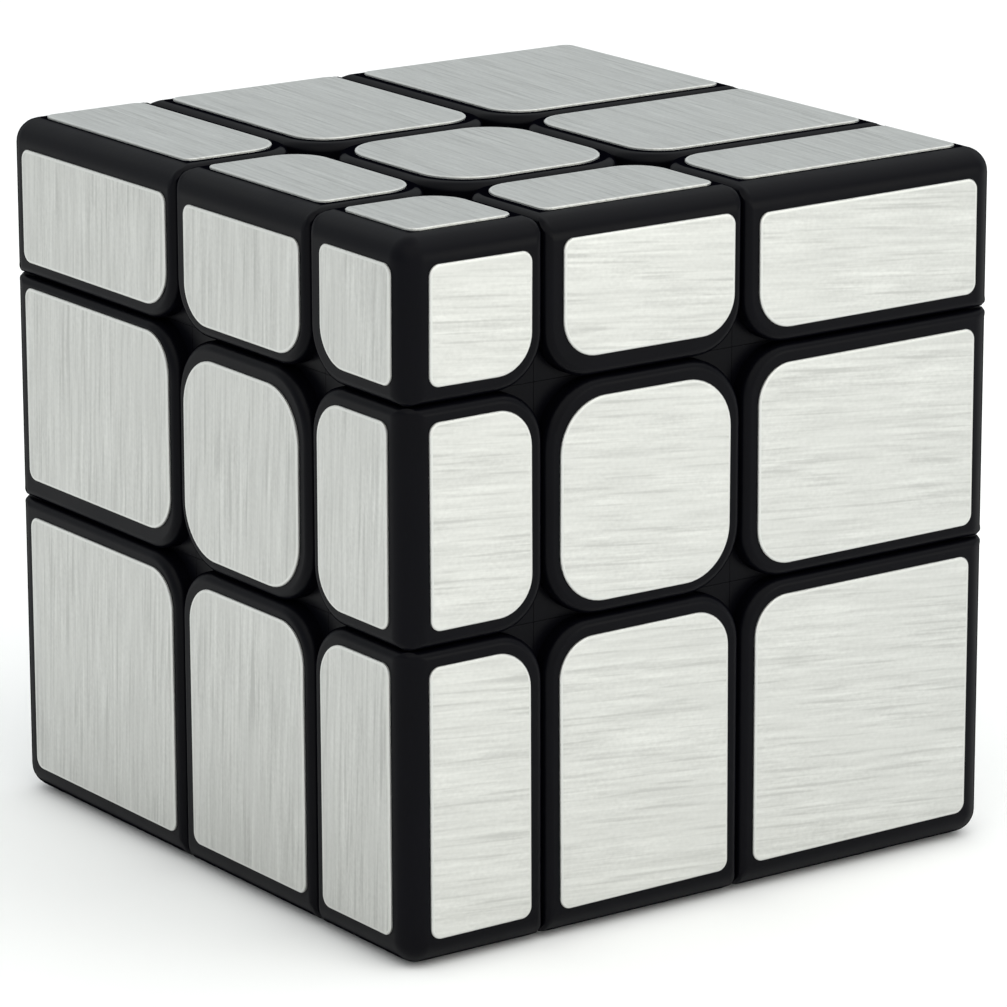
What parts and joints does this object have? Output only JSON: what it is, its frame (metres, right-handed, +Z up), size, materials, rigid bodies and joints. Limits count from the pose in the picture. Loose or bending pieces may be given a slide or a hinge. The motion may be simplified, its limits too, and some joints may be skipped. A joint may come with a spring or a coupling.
{
  "type": "twisty puzzle cube",
  "caption": "Hand-held cube puzzle of metallic blocks in unequal layers; every face turns about a sprung six-armed core.",
  "frame": {"origin": "centre of the square bottom face that the cube rests on", "axes": "+Z up; -Y is the front face and +X the right face, and the thin layers are on the right, at the front and on top"},
  "size_m": [0.057, 0.057, 0.057],
  "materials": {
    "block_plastic": "satin black moulded plastic",
    "mechanism_plastic": "dull black moulded plastic",
    "core_plastic": "off-white moulded plastic",
    "screw_steel": "zinc-plated steel",
    "spring_steel": "drawn spring wire",
    "sticker_foil": "brushed silver foil on a vinyl sticker"
  },
  "bodies": {
    "core": {"core_spider": "core_plastic", "screw_left": "screw_steel", "screw_front": "screw_steel", "screw_bottom": "screw_steel", "screw_top": "screw_steel", "screw_back": "screw_steel", "screw_right": "screw_steel", "spring_left": "spring_steel", "spring_front": "spring_steel", "spring_bottom": "spring_steel", "spring_top": "spring_steel", "spring_back": "spring_steel", "spring_right": "spring_steel"},
    "centre_left": {"centre_left_hub": "block_plastic", "centre_left_cap": "block_plastic"},
    "centre_front": {"centre_front_hub": "block_plastic", "centre_front_cap": "block_plastic"},
    "centre_bottom": {"centre_bottom_hub": "block_plastic", "centre_bottom_cap": "block_plastic"},
    "centre_top": {"centre_top_hub": "block_plastic", "centre_top_cap": "block_plastic"},
    "centre_back": {"centre_back_hub": "block_plastic", "centre_back_cap": "block_plastic"},
    "centre_right": {"centre_right_hub": "block_plastic", "centre_right_cap": "block_plastic"},
    "edge_front_left": {"edge_front_left_shell": "block_plastic", "edge_front_left_foot": "mechanism_plastic"},
    "edge_bottom_left": {"edge_bottom_left_shell": "block_plastic", "edge_bottom_left_foot": "mechanism_plastic"},
    "edge_top_left": {"edge_top_left_shell": "block_plastic", "edge_top_left_foot": "mechanism_plastic"},
    "edge_back_left": {"edge_back_left_shell": "block_plastic", "edge_back_left_foot": "mechanism_plastic"},
    "edge_bottom_front": {"edge_bottom_front_shell": "block_plastic", "edge_bottom_front_foot": "mechanism_plastic"},
    "edge_top_front": {"edge_top_front_shell": "block_plastic", "edge_top_front_foot": "mechanism_plastic"},
    "edge_bottom_back": {"edge_bottom_back_shell": "block_plastic", "edge_bottom_back_foot": "mechanism_plastic"},
    "edge_top_back": {"edge_top_back_shell": "block_plastic", "edge_top_back_foot": "mechanism_plastic"},
    "edge_front_right": {"edge_front_right_shell": "block_plastic", "edge_front_right_foot": "mechanism_plastic"},
    "edge_bottom_right": {"edge_bottom_right_shell": "block_plastic", "edge_bottom_right_foot": "mechanism_plastic"},
    "edge_top_right": {"edge_top_right_shell": "block_plastic", "edge_top_right_foot": "mechanism_plastic"},
    "edge_back_right": {"edge_back_right_shell": "block_plastic", "edge_back_right_foot": "mechanism_plastic"},
    "corner_bottom_front_left": {"corner_bottom_front_left": "block_plastic"},
    "corner_top_front_left": {"corner_top_front_left": "block_plastic"},
    "corner_bottom_back_left": {"corner_bottom_back_left": "block_plastic"},
    "corner_top_back_left": {"corner_top_back_left": "block_plastic"},
    "corner_bottom_front_right": {"corner_bottom_front_right": "block_plastic"},
    "corner_top_front_right": {"corner_top_front_right": "block_plastic"},
    "corner_bottom_back_right": {"corner_bottom_back_right": "block_plastic"},
    "corner_top_back_right": {"corner_top_back_right": "block_plastic"}
  },
  "joints": [
    {"name": "turn_left", "type": "hinge", "parent": "core", "child": "centre_left", "pos_m": [0.00615, -0.00615, 0.03465], "axis": [1, 0, 0], "continuous": true},
    {"name": "turn_front", "type": "hinge", "parent": "core", "child": "centre_front", "pos_m": [0.00615, -0.00615, 0.03465], "axis": [0, 1, 0], "continuous": true},
    {"name": "turn_bottom", "type": "hinge", "parent": "core", "child": "centre_bottom", "pos_m": [0.00615, -0.00615, 0.03465], "axis": [0, 0, 1], "continuous": true},
    {"name": "turn_top", "type": "hinge", "parent": "core", "child": "centre_top", "pos_m": [0.00615, -0.00615, 0.03465], "axis": [0, 0, 1], "continuous": true},
    {"name": "turn_back", "type": "hinge", "parent": "core", "child": "centre_back", "pos_m": [0.00615, -0.00615, 0.03465], "axis": [0, 1, 0], "continuous": true},
    {"name": "turn_right", "type": "hinge", "parent": "core", "child": "centre_right", "pos_m": [0.00615, -0.00615, 0.03465], "axis": [1, 0, 0], "continuous": true},
    {"name": "front_left_with_left", "type": "hinge", "parent": "centre_front", "child": "edge_front_left", "pos_m": [0.00615, -0.00615, 0.03465], "axis": [1, 0, 0], "continuous": true},
    {"name": "bottom_left_with_bottom", "type": "hinge", "parent": "centre_left", "child": "edge_bottom_left", "pos_m": [0.00615, -0.00615, 0.03465], "axis": [0, 0, 1], "continuous": true},
    {"name": "top_left_with_top", "type": "hinge", "parent": "centre_left", "child": "edge_top_left", "pos_m": [0.00615, -0.00615, 0.03465], "axis": [0, 0, 1], "continuous": true},
    {"name": "back_left_with_left", "type": "hinge", "parent": "centre_back", "child": "edge_back_left", "pos_m": [0.00615, -0.00615, 0.03465], "axis": [1, 0, 0], "continuous": true},
    {"name": "bottom_front_with_front", "type": "hinge", "parent": "centre_bottom", "child": "edge_bottom_front", "pos_m": [0.00615, -0.00615, 0.03465], "axis": [0, 1, 0], "continuous": true},
    {"name": "top_front_with_front", "type": "hinge", "parent": "centre_top", "child": "edge_top_front", "pos_m": [0.00615, -0.00615, 0.03465], "axis": [0, 1, 0], "continuous": true},
    {"name": "bottom_back_with_back", "type": "hinge", "parent": "centre_bottom", "child": "edge_bottom_back", "pos_m": [0.00615, -0.00615, 0.03465], "axis": [0, 1, 0], "continuous": true},
    {"name": "top_back_with_back", "type": "hinge", "parent": "centre_top", "child": "edge_top_back", "pos_m": [0.00615, -0.00615, 0.03465], "axis": [0, 1, 0], "continuous": true},
    {"name": "front_right_with_right", "type": "hinge", "parent": "centre_front", "child": "edge_front_right", "pos_m": [0.00615, -0.00615, 0.03465], "axis": [1, 0, 0], "continuous": true},
    {"name": "bottom_right_with_bottom", "type": "hinge", "parent": "centre_right", "child": "edge_bottom_right", "pos_m": [0.00615, -0.00615, 0.03465], "axis": [0, 0, 1], "continuous": true},
    {"name": "top_right_with_top", "type": "hinge", "parent": "centre_right", "child": "edge_top_right", "pos_m": [0.00615, -0.00615, 0.03465], "axis": [0, 0, 1], "continuous": true},
    {"name": "back_right_with_right", "type": "hinge", "parent": "centre_back", "child": "edge_back_right", "pos_m": [0.00615, -0.00615, 0.03465], "axis": [1, 0, 0], "continuous": true},
    {"name": "bottom_front_left_with_left", "type": "hinge", "parent": "edge_bottom_front", "child": "corner_bottom_front_left", "pos_m": [0.00615, -0.00615, 0.03465], "axis": [1, 0, 0], "continuous": true},
    {"name": "top_front_left_with_left", "type": "hinge", "parent": "edge_top_front", "child": "corner_top_front_left", "pos_m": [0.00615, -0.00615, 0.03465], "axis": [1, 0, 0], "continuous": true},
    {"name": "bottom_back_left_with_left", "type": "hinge", "parent": "edge_bottom_back", "child": "corner_bottom_back_left", "pos_m": [0.00615, -0.00615, 0.03465], "axis": [1, 0, 0], "continuous": true},
    {"name": "top_back_left_with_left", "type": "hinge", "parent": "edge_top_back", "child": "corner_top_back_left", "pos_m": [0.00615, -0.00615, 0.03465], "axis": [1, 0, 0], "continuous": true},
    {"name": "bottom_front_right_with_right", "type": "hinge", "parent": "edge_bottom_front", "child": "corner_bottom_front_right", "pos_m": [0.00615, -0.00615, 0.03465], "axis": [1, 0, 0], "continuous": true},
    {"name": "top_front_right_with_right", "type": "hinge", "parent": "edge_top_front", "child": "corner_top_front_right", "pos_m": [0.00615, -0.00615, 0.03465], "axis": [1, 0, 0], "continuous": true},
    {"name": "bottom_back_right_with_right", "type": "hinge", "parent": "edge_bottom_back", "child": "corner_bottom_back_right", "pos_m": [0.00615, -0.00615, 0.03465], "axis": [1, 0, 0], "continuous": true},
    {"name": "top_back_right_with_right", "type": "hinge", "parent": "edge_top_back", "child": "corner_top_back_right", "pos_m": [0.00615, -0.00615, 0.03465], "axis": [1, 0, 0], "continuous": true}
  ],
  "couplings": [
    {"joint": "front_left_with_left", "follows": "turn_left", "ratio": 1},
    {"joint": "bottom_left_with_bottom", "follows": "turn_bottom", "ratio": 1},
    {"joint": "top_left_with_top", "follows": "turn_top", "ratio": 1},
    {"joint": "back_left_with_left", "follows": "turn_left", "ratio": 1},
    {"joint": "bottom_front_with_front", "follows": "turn_front", "ratio": 1},
    {"joint": "top_front_with_front", "follows": "turn_front", "ratio": 1},
    {"joint": "bottom_back_with_back", "follows": "turn_back", "ratio": 1},
    {"joint": "top_back_with_back", "follows": "turn_back", "ratio": 1},
    {"joint": "front_right_with_right", "follows": "turn_right", "ratio": 1},
    {"joint": "bottom_right_with_bottom", "follows": "turn_bottom", "ratio": 1},
    {"joint": "top_right_with_top", "follows": "turn_top", "ratio": 1},
    {"joint": "back_right_with_right", "follows": "turn_right", "ratio": 1},
    {"joint": "bottom_front_left_with_left", "follows": "turn_left", "ratio": 1},
    {"joint": "top_front_left_with_left", "follows": "turn_left", "ratio": 1},
    {"joint": "bottom_back_left_with_left", "follows": "turn_left", "ratio": 1},
    {"joint": "top_back_left_with_left", "follows": "turn_left", "ratio": 1},
    {"joint": "bottom_front_right_with_right", "follows": "turn_right", "ratio": 1},
    {"joint": "top_front_right_with_right", "follows": "turn_right", "ratio": 1},
    {"joint": "bottom_back_right_with_right", "follows": "turn_right", "ratio": 1},
    {"joint": "top_back_right_with_right", "follows": "turn_right", "ratio": 1}
  ]
}
